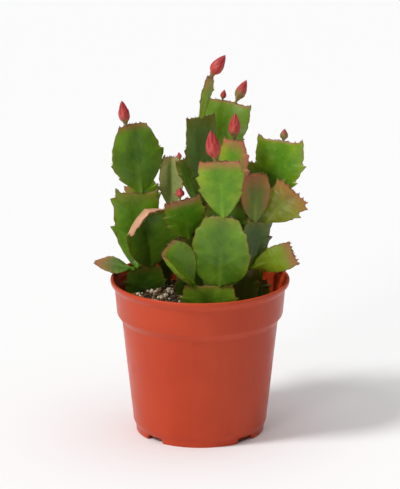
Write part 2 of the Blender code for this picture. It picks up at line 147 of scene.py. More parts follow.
class Nodes:
    """Short ways to add and join the nodes of one material, in Object coordinates."""

    def __init__(self, material):
        self.tree = material.node_tree
        self.object = self.tree.nodes.new("ShaderNodeTexCoord").outputs["Object"]

    def put(self, socket, value):
        """Join a socket to another node's output, or set it to a number or a colour."""
        if isinstance(value, bpy.types.NodeSocket):
            self.tree.links.new(value, socket)
        elif isinstance(value, tuple) and len(value) == 3 and socket.type == "RGBA":
            socket.default_value = (*value, 1)
        else:
            socket.default_value = value

    def noise(self, scale, detail, rough=0.55, stretch=(1, 1, 1)):
        """Cloudy value from 0 to 1, with about scale clouds to the metre."""
        mapping = self.tree.nodes.new("ShaderNodeMapping")
        mapping.inputs["Scale"].default_value = stretch
        self.put(mapping.inputs["Vector"], self.object)
        node = self.tree.nodes.new("ShaderNodeTexNoise")
        self.put(node.inputs["Vector"], mapping.outputs["Vector"])
        node.inputs["Scale"].default_value = scale
        node.inputs["Detail"].default_value = detail
        node.inputs["Roughness"].default_value = rough
        return node.outputs["Fac"]

    def band(self, value, low, high, bottom=0.0, top=1.0):
        """Spread value's range low to high over bottom to top, smoothly and held at the ends."""
        node = self.tree.nodes.new("ShaderNodeMapRange")
        node.interpolation_type = "SMOOTHSTEP"
        self.put(node.inputs["Value"], value)
        ends = {"From Min": low, "From Max": high, "To Min": bottom, "To Max": top}
        for socket, number in ends.items():
            node.inputs[socket].default_value = number
        return node.outputs["Result"]

    def arithmetic(self, operation, one, other):
        """One value added to or multiplied by the other."""
        node = self.tree.nodes.new("ShaderNodeMath")
        node.operation = operation
        self.put(node.inputs[0], one)
        self.put(node.inputs[1], other)
        return node.outputs["Value"]

    def plus(self, one, other):
        return self.arithmetic("ADD", one, other)

    def times(self, one, other):
        return self.arithmetic("MULTIPLY", one, other)

    def mix(self, share, one, other):
        """Colour one, with that share of the other in it."""
        node = self.tree.nodes.new("ShaderNodeMix")
        node.data_type = "RGBA"
        self.put(node.inputs["Factor"], share)
        self.put(node.inputs[6], one)
        self.put(node.inputs[7], other)
        return node.outputs[2]

    def attribute(self, name):
        """A value that the piece's own mesh carries at its points."""
        node = self.tree.nodes.new("ShaderNodeAttribute")
        node.attribute_name = name
        return node.outputs["Fac"]

    def bump(self, height, distance, strength):
        """Surface roughened by height, over that distance in metres."""
        node = self.tree.nodes.new("ShaderNodeBump")
        self.put(node.inputs["Height"], height)
        node.inputs["Distance"].default_value = distance
        node.inputs["Strength"].default_value = strength
        return node.outputs["Normal"]


MM = 0.001
POT_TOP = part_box("pot")[1].z
LIP_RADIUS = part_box("pot")[1].x
POT_WALL = 1.2 * MM
FLOOR_UNDERSIDE = 3.6 * MM
FLOOR_TOP = 5.0 * MM
FOOT_RADIUS = 38.7 * MM
FOOT_WALL = 1.6 * MM
BODY_FOOT = (40.4 * MM, 6.7 * MM)
BODY_TOP = (47.1 * MM, 69.5 * MM)
COLLAR_FOOT = (50.1 * MM, 73.8 * MM)
COLLAR_TOP = (51.5 * MM, 89.7 * MM)
LIP_WIDTH = 1.8 * MM
LIP_DEPTH = 2.4 * MM
NOTCH_WIDTH = 12.5 * MM
NOTCH_HEIGHT = 3.0 * MM
NOTCH_CORNER = 1.5 * MM
DRAIN_DIAMETER = 9.0 * MM
DRAIN_CIRCLE = 26.0 * MM
DRILL_PAST = 2.5 * MM
POT_ORANGE = (0.52, 0.052, 0.014)

inner_wall = [
    (BODY_FOOT[0] - POT_WALL, FLOOR_TOP),
    (BODY_TOP[0] - POT_WALL, BODY_TOP[1] + 0.5 * POT_WALL),
    (COLLAR_FOOT[0] - POT_WALL, COLLAR_FOOT[1] + 0.5 * POT_WALL),
    (COLLAR_TOP[0] - POT_WALL, COLLAR_TOP[1]),
]
# Corners of the section, from under the floor outwards, up and back in: (radius, height), and how
# far the corner's rounding reaches.
pot_corners = [
    ((0.0, FLOOR_UNDERSIDE), 0.0),
    ((FOOT_RADIUS - FOOT_WALL, FLOOR_UNDERSIDE), 0.3 * MM),
    ((FOOT_RADIUS - FOOT_WALL, 0.0), 0.35 * MM),
    ((FOOT_RADIUS, 0.0), 0.35 * MM),
    ((FOOT_RADIUS + 0.3 * MM, FLOOR_UNDERSIDE), 0.6 * MM),
    (BODY_FOOT, 0.9 * MM),
    (BODY_TOP, 0.8 * MM),
    (COLLAR_FOOT, 0.8 * MM),
    (COLLAR_TOP, 1.2 * MM),
    ((LIP_RADIUS, POT_TOP - LIP_DEPTH), 1.1 * MM),
    ((LIP_RADIUS, POT_TOP), 0.7 * MM),
    ((LIP_RADIUS - LIP_WIDTH, POT_TOP), 0.7 * MM),
    ((LIP_RADIUS - LIP_WIDTH - 0.4 * MM, POT_TOP - LIP_DEPTH), 0.8 * MM),
    (inner_wall[3], 1.2 * MM),
    (inner_wall[2], 0.8 * MM),
    (inner_wall[1], 0.6 * MM),
    (inner_wall[0], 1.0 * MM),
    ((0.0, FLOOR_TOP), 0.0),
]
pot_section = softened(pot_corners)

# Each foot notch lifts the ring's lower edge, up to a quarter circle at its upper corners, and the
# angles are closer together at its sides.
notch_middles = pi / 4 + whole_turn(4)
notch_sides = 0.5 * NOTCH_WIDTH / FOOT_RADIUS + np.array([-0.04, -0.025, -0.012, -0.004, 0.0, 0.008])
notch_angles = (notch_middles[:, None, None] + np.array([-1, 1])[:, None] * notch_sides).ravel()
pot_angles = np.unique(np.round(np.concatenate([whole_turn(160), notch_angles]), 6))
off_middle = np.abs((pot_angles[:, None] - notch_middles + pi / 4) % (2 * pi) - pi / 4).min(1)
off_middle = off_middle * FOOT_RADIUS
corner = np.clip((off_middle - 0.5 * NOTCH_WIDTH + NOTCH_CORNER) / NOTCH_CORNER, 0, 1)
lift = NOTCH_HEIGHT - NOTCH_CORNER * (1 - np.sqrt(1 - corner**2))
lift = np.where(off_middle > 0.5 * NOTCH_WIDTH + 0.1 * MM, 0.0, lift)
pot_points = lathe(pot_section, pot_angles)
below_floor = np.clip(1 - pot_points[..., 2] / FLOOR_UNDERSIDE, 0, 1)
pot_points[..., 2] += lift * below_floor

plastic, shader = finish_material("terracotta_plastic", POT_ORANGE, 0.34)
shader.inputs["Specular IOR Level"].default_value = 0.25
n = Nodes(plastic)
cloud = n.noise(22, 3)
flow = n.noise(60, 2, stretch=(1, 1, 0.12))
scuffs = n.noise(420, 4, 0.7)
tone = n.mix(n.band(cloud, 0.3, 0.7), (0.46, 0.043, 0.010), (0.52, 0.054, 0.014))
tone = n.mix(n.band(flow, 0.45, 0.75, 0, 0.3), tone, (0.58, 0.075, 0.025))
tone = n.mix(n.band(scuffs, 0.64, 0.8, 0, 0.2), tone, (0.50, 0.12, 0.06))
n.put(shader.inputs["Base Color"], tone)
n.put(shader.inputs["Roughness"], n.band(n.noise(90, 4), 0.3, 0.75, 0.30, 0.42))
n.put(shader.inputs["Normal"], n.bump(n.noise(900, 3), 0.00008, 0.35))

pot = new_mesh("nursery_pot", pot_points, grid_faces(len(pot_section), len(pot_angles), True), plastic)
welded(pot, 2e-6)

# The drain holes: one in the middle of the floor and one towards each notch, drilled out together.
hole_spots = np.array([(0, 0, 0)] + [(cos(a), sin(a), 0) for a in notch_middles]) * DRAIN_CIRCLE
hole_radius = 0.5 * DRAIN_DIAMETER
drill_foot, drill_top = FLOOR_UNDERSIDE - DRILL_PAST, FLOOR_TOP + DRILL_PAST
hole_section = [(0, drill_foot), (hole_radius, drill_foot), (hole_radius, drill_top), (0, drill_top)]
hole = lathe(np.array(hole_section), whole_turn(48))
holes = hole + hole_spots[:, None, None]
rows, sides = hole.shape[:2]
hole_faces = [grid_faces(rows, sides, True, rows * sides * k) for k in range(len(hole_spots))]
drill = welded(new_mesh("drill", holes, np.concatenate(hole_faces), plastic))
boring = pot.modifiers.new("drain_holes", "BOOLEAN")
boring.operation = "DIFFERENCE"
boring.solver = "EXACT"
boring.object = drill
bpy.context.view_layer.update()
bored = bpy.data.meshes.new_from_object(pot.evaluated_get(bpy.context.evaluated_depsgraph_get()))
pot.modifiers.clear()
pot.data = bored
bpy.data.objects.remove(drill)
pot.data.polygons.foreach_set("use_smooth", np.ones(len(pot.data.polygons), bool))
pot.data.set_sharp_from_angle(angle=radians(38))
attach(pot, "root")
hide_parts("pot")


# Pads: the flat, jointed stem segments, which are the plant's green skin and carry the teeth.
# Each is a thin waxy blade with a raised midrib, faint side veins and a rounded, reddish rim, and
# grows through a narrow neck from the top of the one below, or out of the mix.
MIX_LEVEL = 80.0 * MM
ROOT_DEPTH = 8.0 * MM
PAD_THICKNESS = 2.8 * MM
END_ROUNDING = 0.9 * MM
RIB_HEIGHT = 0.45 * MM
RIB_WIDTH = 1.1 * MM
VEIN_HEIGHT = 0.22 * MM
PILLOW_HEIGHT = 0.5 * MM
NECK_HALF_WIDTH = 2.4 * MM
NECK_DEPTH = 0.9 * MM
TOOTH_HEIGHT = 1.9 * MM
TOOTH_RISE = 0.17  # share of the length over which the margin swells up to a tooth's point
TOOTH_DROP = 0.035  # and over which it drops back above the point
CURL_FROM = 0.7  # share of the length where a curled end starts to bend over
CURL_OVER = 0.3
FOLD_ROUNDING = 0.5  # share of the half width over which the fold at the midrib is rounded
NECK_GAP = 0.3 * MM  # shortest bare neck
STEM_REACH = 2.6 * MM  # more neck for a pad that stands square to the one below
SECTION_POINTS = 52
BRISTLE_RADIUS = 0.13 * MM

# What a pad may have besides its place and size, and what is usual.
USUAL = {
    "bend": 0,  # degrees that it bends forwards from foot to tip
    "curl": 0,  # degrees more that its end curls over
    "skew": 0,  # how much later the curl starts on the right than in the middle
    "fold": 0,  # degrees that each half stands forwards at the midrib
    "cup": 12,  # degrees more that each half turns forwards towards its margin
    "wide": 0.55,  # share of the length where it is widest
    "swell": 0.9,  # power of its widening up to there; less is rounder
    "shoulder": 2,  # power of its narrowing from there on; more is squarer
    "top": 0.62,  # width of the top as a share of the widest
    "horn": 1.2,  # millimetres that the corners of the top stand up
    "dome": 0,  # millimetres that the middle of the top stands up
    "left": (0.38, 0.64),  # teeth on the left margin, as shares of the length
    "right": (0.42, 0.68),  # teeth on the right margin
    "spike": 1,  # size of the teeth
    "skin": "dark",  # which of the skins below
    "shade": 0,  # more is a fresher green; partly the pad's own tone, partly painted light that lifts pads lying in shade
    "blush": 0.3,  # strength of the red flush
    "blush_from": 0.8,  # share of the length where the flush starts
    "flank": (0, 0),  # flush on the left and the right half
    "jag": 0.6,  # size of the small points along the top
}
Pad = namedtuple(
    "Pad",
    ["name", "parent", "at", "lean", "tilt", "turn", "length", "width", *USUAL],
    defaults=USUAL.values(),
)
# Name, parent, place on its top from -1 to 1 (or x, y in the mix), lean right, tilt forward, turn
# right, length, width; millimetres and degrees.
# The shade values are partly painted light: pads that lie in shade are given a fresher, lighter green.
PADS = [
    Pad("left_root", "", (-34, 13), 0, 0, 25, 25, 26, top=0.75, dome=1, left=(0.7,), right=(0.66,),
        skin="mid", shade=-0.2),
    Pad("left_low", "left_root", -0.7, -80, 0, 70, 20.5, 15, wide=0.45, top=0.1, horn=0, left=(),
        right=(), skin="mid", shade=-0.1, blush=1, blush_from=0.3),
    Pad("left_folded", "left_root", 0.5, -8, 16, 22, 50, 37, bend=-24, curl=120, skew=0.05, fold=22,
        top=0.8, horn=0, left=(), right=(0.45,), spike=0.6, skin="mid", shade=0.15, blush=1,
        blush_from=0.7),
    Pad("left_upright", "left_root", -0.42, -1, -12, 5, 45, 28, bend=22, wide=0.6, top=0.9, horn=3.5,
        left=(0.52, 0.86), right=(0.5,), spike=1.3, skin="mid", shade=0.1),
    Pad("upper_left", "left_upright", 0.25, -8, 0, 20, 41, 33, wide=0.52, shoulder=1.5, top=0.45, horn=0,
        dome=1, left=(0.24, 0.46), right=(0.56,), spike=0.8, skin="mid", shade=0.15, blush=0.8,
        blush_from=0.88),
    Pad("front_root", "", (5, -20), 0, 0, 6, 24, 33, top=0.85, left=(0.7,), right=(0.66,), skin="mid",
        shade=0.15),
    Pad("front_round", "front_root", 0.5, 1, 4, -12, 42, 36, wide=0.47, swell=0.55, top=0.5, horn=0,
        dome=1.5, left=(0.45, 0.82), right=(0.5, 0.8), spike=0.4, skin="mid", shade=0.1, blush=0.2),
    Pad("front_upper", "front_round", 0.1, -4, 2, -6, 33, 27, wide=0.7, top=0.9, dome=1,
        left=(0.5, 0.72), right=(0.42, 0.76), spike=0.7, skin="light", shade=-0.05, blush=0.85,
        blush_from=0.8),
    Pad("front_folded", "front_root", -0.6, -40, 12, 60, 28, 30, fold=16, cup=50, left=(), right=(),
        skin="mid", shade=0.9, blush=0.9, blush_from=0.88),
    Pad("centre_root", "", (-6, 8), 0, 0, 30, 26, 23, left=(0.7,), right=(0.66,)),
    Pad("centre_lower", "centre_root", 0.0, -2, 10, 20, 21, 26),
    Pad("centre_blushed", "centre_lower", 0.0, -9, 20, 10, 27, 24, top=0.9, horn=2.5, skin="light",
        shade=-0.2, blush=0.9, blush_from=0.76, jag=1.3),
    Pad("centre_thin", "centre_blushed", 0.6, -19, -8, 58, 21, 13, shade=0.2),
    Pad("middle_root", "", (14, 4), 0, 0, -20, 26, 22, left=(0.7,), right=(0.66,)),
    Pad("middle_upright", "middle_root", 0.1, 0, 0, 16, 42, 27, wide=0.7, top=0.85, skin="mid",
        shade=-0.2),
    Pad("middle_upper", "middle_upright", 0.6, -2, -3, -40, 38, 22, wide=0.6, left=(0.4,),
        right=(0.52, 0.76), skin="light", shade=0.2, blush=1, blush_from=0.76, flank=(0.1, 1)),
    Pad("right_root", "", (26, -3), 0, 0, 30, 29, 21, left=(0.7,), right=(0.66,), shade=-0.2),
    Pad("right_upright", "right_root", 0.2, 14, 0, 30, 30, 22, shade=0.3),
    Pad("right_blushed", "right_upright", -0.35, 2, 2, 16, 27, 18, wide=0.55, top=0.62, dome=2,
        left=(), right=(), skin="blushed", shade=-0.2, blush=0.9, blush_from=0.55, flank=(0.85, 0.85),
        jag=0.5),
    Pad("right_outer", "right_upright", 0.75, 41, 4, -14, 24, 23, wide=0.65, top=0.85, horn=1,
        left=(0.9,), right=(0.62, 0.86), spike=1.4, skin="blushed", shade=0.2, blush=0.8,
        blush_from=0.5, jag=1.2),
    Pad("right_low", "right_root", 0.7, 67, 10, 0, 25, 17, wide=0.6, top=0.85, left=(), right=(),
        skin="light", shade=0.8, blush=0.95, blush_from=0.65, jag=0.7),
    Pad("right_rear_root", "", (34, 15), 0, 0, 0, 17, 17, left=(0.8,), right=(0.8,)),
    Pad("right_rear_stem", "right_rear_root", 0.3, 9, 0, 85, 33, 13, skin="mid"),
    Pad("right_rear_mid", "right_rear_stem", 0.0, 18, 4, 60, 20, 14, shade=0.2),
    Pad("right_upper", "right_rear_mid", 0.0, 2, 0, -24, 33, 31, wide=0.7, top=0.95, horn=4, dome=1,
        left=(0.24, 0.52), right=(0.26, 0.58), spike=1.4, skin="light", shade=-0.15, blush=0.5,
        blush_from=0.94, jag=0.5),
    Pad("back_left_root", "", (-22, 32), 0, 0, 60, 26, 17, top=0.8, left=(0.7,), right=(0.66,)),
    Pad("back_left_mid", "back_left_root", -0.4, 10, 4, 60, 34, 16),
    Pad("back_left_upper", "back_left_mid", 0.0, 0, -4, 0, 30, 18, fold=24, cup=20, top=0.5, left=(0.4,),
        right=(), skin="grey", blush=0.5, blush_from=0.8, flank=(0.3, 0.3)),
    Pad("back_root", "", (0, 26), 0, 0, 12, 26, 28, top=0.9, left=(0.7,), right=(0.66,)),
    Pad("back_mid", "back_root", -0.55, 13, 12, 20, 40, 20),
    Pad("tall_back", "back_mid", -0.1, -2, 0, 28, 52, 22, wide=0.6, top=0.9, horn=1, left=(0.3, 0.62),
        right=(0.34, 0.68), spike=0.5, shade=0.45, jag=0.5),
    Pad("tall_stalk", "tall_back", 0.1, 12, 0, 45, 24, 8, wide=0.35, swell=0.6, top=0.45, spike=0.4,
        skin="light", shade=0.3, blush=0.7, blush_from=0.5),
    Pad("back_inner", "back_root", 0.75, 9, -8, 78, 37, 17),
    Pad("back_inner_upper", "back_inner", 0.0, -7, -2, 75, 26, 15),
    Pad("upper_back", "back_inner_upper", 0.0, 9, 0, -18, 32, 30, wide=0.7, top=0.95, horn=3, dome=2,
        left=(0.36,), right=(0.4,), skin="mid", shade=0.3, blush=0.7, blush_from=0.93, jag=0.35),
    Pad("back_right_root", "", (24, 30), 0, 0, 26, 26, 20, top=0.8, left=(0.7,), right=(0.66,)),
    Pad("back_right_mid", "back_right_root", -0.45, 12, 2, -22, 28, 18),
    Pad("back_right_upper", "back_right_mid", 0.1, 3, 3, -20, 34, 22, shade=0.2),
    Pad("rear_left", "back_left_root", 0.5, -18, -34, 155, 27, 21, bend=-30, skin="mid"),
    Pad("rear_left_tip", "rear_left", 0.2, -24, 2, 195, 22, 20, top=0.9, skin="light", blush=0.8,
        blush_from=0.7, jag=0.6),
    Pad("rear_centre", "back_root", -0.05, 2, -38, 184, 32, 24, bend=-36, skin="mid"),
    Pad("rear_centre_upper", "rear_centre", 0.1, 4, 4, 165, 32, 23, top=0.9, skin="light",
        shade=-0.2, blush=0.6, blush_from=0.8),
    Pad("rear_right", "back_right_root", 0.5, 24, -34, 205, 30, 21, bend=-30, skin="mid"),
    Pad("rear_right_tip", "rear_right", 0.0, 26, 2, 170, 21, 18, top=0.9, horn=3, skin="blushed",
        blush=0.9, blush_from=0.5, jag=0.8),
]


def smooth_step(value, low, high):
    """0 below low, 1 above high, and the cubic 3s^2 - 2s^3 between."""
    s = np.clip((value - low) / (high - low), 0, 1)
    return s * s * (3 - 2 * s)


def margin(pad, share, teeth):
    """Distance from the midrib to one margin: a sine swell from the neck to the full width and a
    slow taper to the top, slightly wavy, then a hooked point at each tooth with a notch above it."""
    full = 0.5 * pad.width * MM
    along = np.clip(share, 0, 1)
    widening = np.sin(0.5 * pi * (along / pad.wide) ** pad.swell)
    past = np.clip(along - pad.wide, 0, 1) / (1 - pad.wide)
    narrowing = 1 - (1 - pad.top) * past**pad.shoulder
    edge = NECK_HALF_WIDTH + (full - NECK_HALF_WIDTH) * np.where(along < pad.wide, widening, narrowing)
    edge = edge - 0.8 * MM * smooth_step(-share * pad.length, 0, 1.5)
    wave = np.sin(36 * along + pad.width) + 0.7 * np.sin(61 * along + pad.length)
    edge = edge + 0.16 * MM * wave * smooth_step(along, 0.15, 0.4)
    for tooth in teeth:
        above = share - tooth
        rising = np.clip(1 + above / TOOTH_RISE, 0, 1) ** 2.6 * (above <= 0)
        falling = np.clip(1 - above / TOOTH_DROP, 0, 1) * (above > 0)
        edge = edge + pad.spike * TOOTH_HEIGHT * (rising + falling)
        edge = edge - 0.5 * MM * np.exp(-(((above - 1.7 * TOOTH_DROP) / (0.8 * TOOTH_DROP)) ** 2))
    return edge


def hook(pad, share, teeth):
    """How far a margin point is drawn towards the tip: most at each tooth's point."""
    pull = 0 * share
    for tooth in teeth:
        above = share - tooth
        pull = pull + np.clip(1 + above / (0.5 * TOOTH_RISE), 0, 1) ** 2 * (above <= 0)
        pull = pull + np.clip(1 - above / TOOTH_DROP, 0, 1) * (above > 0)
    return 0.55 * pad.spike * TOOTH_DROP * pad.length * MM * pull


def midrib_slope(pad, share, across):
    """Angle of the midrib from upright: an even bend, and the curl over the last part."""
    past = np.clip((share - CURL_FROM - pad.skew * across) / CURL_OVER, 0, 1)
    return np.radians(pad.bend * (share - 0.5) + pad.curl * past)


def pad_points(pad, share, across, height):
    """Points of a pad in its own frame, upright with its face to -Y.

    The midrib is the running sum of its slope in short steps. Each half is an arc that starts at
    the fold angle and gathers the cup angle over its width; height stands square to it. The top
    edge rises to a horn at each end and a dome in the middle, with small points between.
    """
    share, across, height = np.broadcast_arrays(share, across, height)
    side = np.where(across < 0, -1.0, 1.0)
    off = np.abs(across)
    reach = np.where(across < 0, margin(pad, share, pad.left), margin(pad, share, pad.right))
    pull = np.where(across < 0, hook(pad, share, pad.left), hook(pad, share, pad.right))
    fold, cup = radians(pad.fold), max(radians(pad.cup), 0.001)
    wing = fold + cup * off
    square = wing * np.clip(off / FOLD_ROUNDING, 0, 1)
    outward = reach / cup * (np.sin(wing) - sin(fold)) - height * np.sin(square)
    forward = reach / cup * (cos(fold) - np.cos(wing)) + height * np.cos(square)
    ripple = len(pad.name) + pad.length
    forward = forward + 0.8 * MM * np.sin(5.5 * share + ripple + 1.3 * side) * off**2 * (share > 0)
    forward = forward + 0.4 * MM * np.sin(13 * share + 2 * ripple) * off**3 * np.clip(share, 0, 1)
    steps = (np.arange(24) + 0.5) / 24
    stride = pad.length * MM * share / len(steps)
    slopes = midrib_slope(pad, share[..., None] * steps, across[..., None])
    slope = midrib_slope(pad, share, across)
    end = np.clip(share, 0, 1)
    rise = MM * end**4 * (pad.horn * off**6 + pad.dome * (1 - off**2))
    crests = np.cos(pi * (2.6 * across + 0.3 + ripple)) ** 4 * (0.7 + 0.3 * np.cos(7 * across + ripple))
    rise = rise + pad.jag * MM * end**14 * (1.5 * crests - 0.3) + pull * off**5
    ahead = stride * np.sin(slopes).sum(-1) + forward * np.cos(slope) + rise * np.sin(slope)
    up = stride * np.cos(slopes).sum(-1) - forward * np.sin(slope) + rise * np.cos(slope)
    return np.stack([side * outward, -ahead, up], -1)


def turning(lean, tilt, turn):
    """Rotation matrix: turned about Z, then tilted about X, then leaned about Y."""
    a, b, c = radians(lean), radians(tilt), radians(turn)
    about_y = np.array([[cos(a), 0, sin(a)], [0, 1, 0], [-sin(a), 0, cos(a)]])
    about_x = np.array([[1, 0, 0], [0, cos(b), -sin(b)], [0, sin(b), cos(b)]])
    about_z = np.array([[cos(c), -sin(c), 0], [sin(c), cos(c), 0], [0, 0, 1]])
    return about_y @ about_x @ about_z


pads = {pad.name: pad for pad in PADS}
stance = {}  # how each pad stands, filled in as they are made
dice = np.random.default_rng(7)  # for all that is left to chance, here and further down


def stand(piece, turn=0.0):
    """(rotation, base point, length of neck below it) of a pad or bud: on its parent's top, or
    in the mix."""
    rotation = turning(piece.lean, piece.tilt, turn)
    if not piece.parent:
        return rotation, np.array([piece.at[0] * MM, piece.at[1] * MM, MIX_LEVEL - ROOT_DEPTH]), 0.0
    parent_rotation, parent_base, _ = stance[piece.parent]
    top = parent_base + parent_rotation @ pad_points(pads[piece.parent], 1.0, piece.at, 0.0)
    growth = rotation[:, 2]
    between = np.arccos(np.clip(parent_rotation[:, 2] @ growth, -1, 1))
    air = NECK_GAP + STEM_REACH * sin(min(between, 0.5 * pi))
    return rotation, top + growth * air, air


def pad_rows(pad, foot, rounding):
    """Shares of the length for the rows of points: evenly spaced from the foot of the neck, and
    closer at the teeth and at both ends."""
    ends = np.array([0, 0.03, 0.1, 0.22, 0.4, 0.65, 1])
    teeth = np.array(pad.left + pad.right)[:, None]
    near = np.array([-0.06, -0.04, -0.025, -0.012, -0.004, 0, 0.006, 0.014, 0.024, 0.035, 0.05, 0.07])
    rows = np.concatenate([
        np.linspace(0.01, 1 - rounding, 74),
        (teeth + near).ravel(),
        1 - ends * rounding,
        foot + ends * rounding,
        np.linspace(foot + rounding, 0.005, 6),
    ])
    rows = np.unique(np.round(rows[(rows > foot) & (rows <= 1)], 4))
    return np.concatenate([[foot], rows[rows > foot + 1e-4]])


def pad_surface(pad, neck):
    """Points round a pad, row by row from the foot of its neck, and the marks that colour it.

    A row goes round at an angle a. Its half thickness is 0.35 |sin a| + 0.65 sin^2 a of the
    blade's, plus the midrib, the side veins and a soft pillow in each half, and it closes in a
    quarter circle at the foot and the tip. Each mark fades by distance from midrib or margin.
    """
    length = pad.length * MM
    foot = -(neck + NECK_DEPTH) / length if pad.parent else 0.0
    rounding = END_ROUNDING / length
    share = pad_rows(pad, foot, rounding)[:, None]
    across = np.cos(whole_turn(SECTION_POINTS))[None]
    face = np.sin(whole_turn(SECTION_POINTS))[None]
    reach = margin(pad, share, ())

    half = 0.5 * PAD_THICKNESS * (1 - 0.45 * np.clip(share, 0, 1) ** 3)
    blade = half * (0.35 * np.abs(face) + 0.65 * face**2)
    midrib = np.exp(-((across * reach / RIB_WIDTH) ** 2))
    veins = 0 * blade
    for tooth, side in [(t, -1) for t in pad.left] + [(t, 1) for t in pad.right]:
        line = tooth + 0.03 - 0.24 * (1 - np.abs(across)) ** 1.2
        vein = np.exp(-(((share - line) / 0.02) ** 2)) * (side * across > 0.02)
        veins = veins + vein * np.abs(across) ** 0.5
    relief = RIB_HEIGHT * (1 - 0.6 * share) * midrib * (share > -0.02)
    relief = relief + VEIN_HEIGHT * veins * np.abs(face)
    pillow = PILLOW_HEIGHT * np.sin(pi * np.abs(across) ** 0.8) ** 2 * smooth_step(share, 0.1, 0.35)
    pillow = pillow * (1 - smooth_step(share, 0.8, 1.0)) * smooth_step(reach, 4 * MM, 9 * MM)
    closing = np.clip(np.minimum(1 - share, share - foot) / rounding, 0, 1)
    thickness = (blade + relief + pillow) * np.sqrt(1 - (1 - closing) ** 2)
    points = pad_points(pad, share, across, np.sign(face) * thickness)

    near_edge = np.minimum(reach * (1 - np.abs(across)), (1 - share) * length)
    top_flush = smooth_step(share, pad.blush_from, 1.0) * (0.75 + 0.25 * np.abs(across))
    flank_flush = np.where(across < 0, *pad.flank) * smooth_step(np.abs(across), 0.25, 1.0)
    flank_flush = flank_flush * smooth_step(share, 0.05, 0.5)
    edge_flush = 0.16 * np.exp(-near_edge / (0.9 * MM)) * smooth_step(share, 0.1, 0.6)
    # Painted shade: a darker band down the middle of the blade, where the groove by the midrib lies in
    # shade.
    painted_groove_shade = 0.3 * np.exp(-((across * reach / (4.5 * MM)) ** 2)) * smooth_step(share, 0.1, 0.5)
    curled = (pad.curl > 0) * smooth_step(share, CURL_FROM - 0.02, CURL_FROM + 0.08)
    marks = {
        "along": share + 0 * across,
        "pale": 0.55 * np.exp(-near_edge / (2.2 * MM)) * smooth_step(share, 0.0, 0.3),
        "bleach": curled * (face < 0.1),
        # Paler midrib and veins, strongest at the foot: partly their own paler green, partly a painted
        # highlight on the raised ridge.
        "rib": midrib * smooth_step(-share, -1.0, -0.1) + 0.5 * veins * (1 - smooth_step(share, 0.8, 1)),
        "blush": np.clip(pad.blush * np.maximum(top_flush, flank_flush) + edge_flush, 0, 1),
        "rim": np.exp(-((near_edge / (0.4 * MM)) ** 2)) * smooth_step(share, 0.05, 0.4),
        # The shade mark: the pad's fresher green, partly painted light for pads in shade, less the painted
        # shade band.
        "shade": pad.shade - painted_groove_shade,
    }
    return points, marks


def areole_bristles(pad):
    """Roots, directions and lengths of a pad's bristles: five from each areole. The areoles sit
    just above each tooth, pointing out and a little up, and along the top, pointing on."""
    spots = [(tooth + 1.4 * TOOTH_DROP, -1.0) for tooth in pad.left]
    spots += [(tooth + 1.4 * TOOTH_DROP, 1.0) for tooth in pad.right]
    spots += [(1.0, side) for side in (-0.86, -0.58, -0.28, 0.05, 0.33, 0.6, 0.88)]
    share, across = np.repeat(np.array(spots), 5, axis=0).T
    across = np.clip(across + dice.normal(0, 0.03, len(across)), -1, 1)
    on_top = (share >= 1)[:, None]
    share = np.minimum(share, 1.0)
    roots = pad_points(pad, share, across, 0.0)
    outwards = roots - pad_points(pad, share, 0.55 * across, 0.0)
    onwards = pad_points(pad, 1.0, across, 0.0) - pad_points(pad, 0.96, across, 0.0)
    ways = np.where(on_top, onwards, outwards)
    ways /= np.maximum(np.linalg.norm(ways, axis=1), 1e-9)[:, None]
    ways = ways + dice.normal(0, 0.35, ways.shape) + np.where(on_top, 0, 0.5) * np.array([0, 0, 1.0])
    ways /= np.linalg.norm(ways, axis=1)[:, None]
    return roots, ways, dice.uniform(0.4, 1.3, len(roots)) * MM


def cones(roots, ways, lengths, radius):
    """Slim cones: five-sided rings that shrink from the root almost to a point along each way.
    Gives their points, the four-sided faces round them and the five-sided ones at their ends."""
    helper = np.where(np.abs(ways[:, 2:3]) < 0.9, [[0, 0, 1.0]], [[1.0, 0, 0]])
    one = np.cross(ways, helper)
    one /= np.linalg.norm(one, axis=1)[:, None]
    other = np.cross(ways, one)
    turn = whole_turn(5)[:, None]
    circle = one[:, None] * np.cos(turn) + other[:, None] * np.sin(turn)
    rings = []
    for share, girth in ((-0.1, 1.0), (0.45, 0.75), (0.97, 0.12)):
        middle = roots + share * lengths[:, None] * ways
        rings.append(middle[:, None] + circle * radius * girth)
    points = np.concatenate(rings, 1)
    side = grid_faces(3, 5, True)
    start = 15 * np.arange(len(roots))
    quads = (start[:, None, None] + side).reshape(-1, 4)
    ends = np.array([[4, 3, 2, 1, 0], [10, 11, 12, 13, 14]])
    return points.reshape(-1, 3), quads, (start[:, None, None] + ends).reshape(-1, 5)


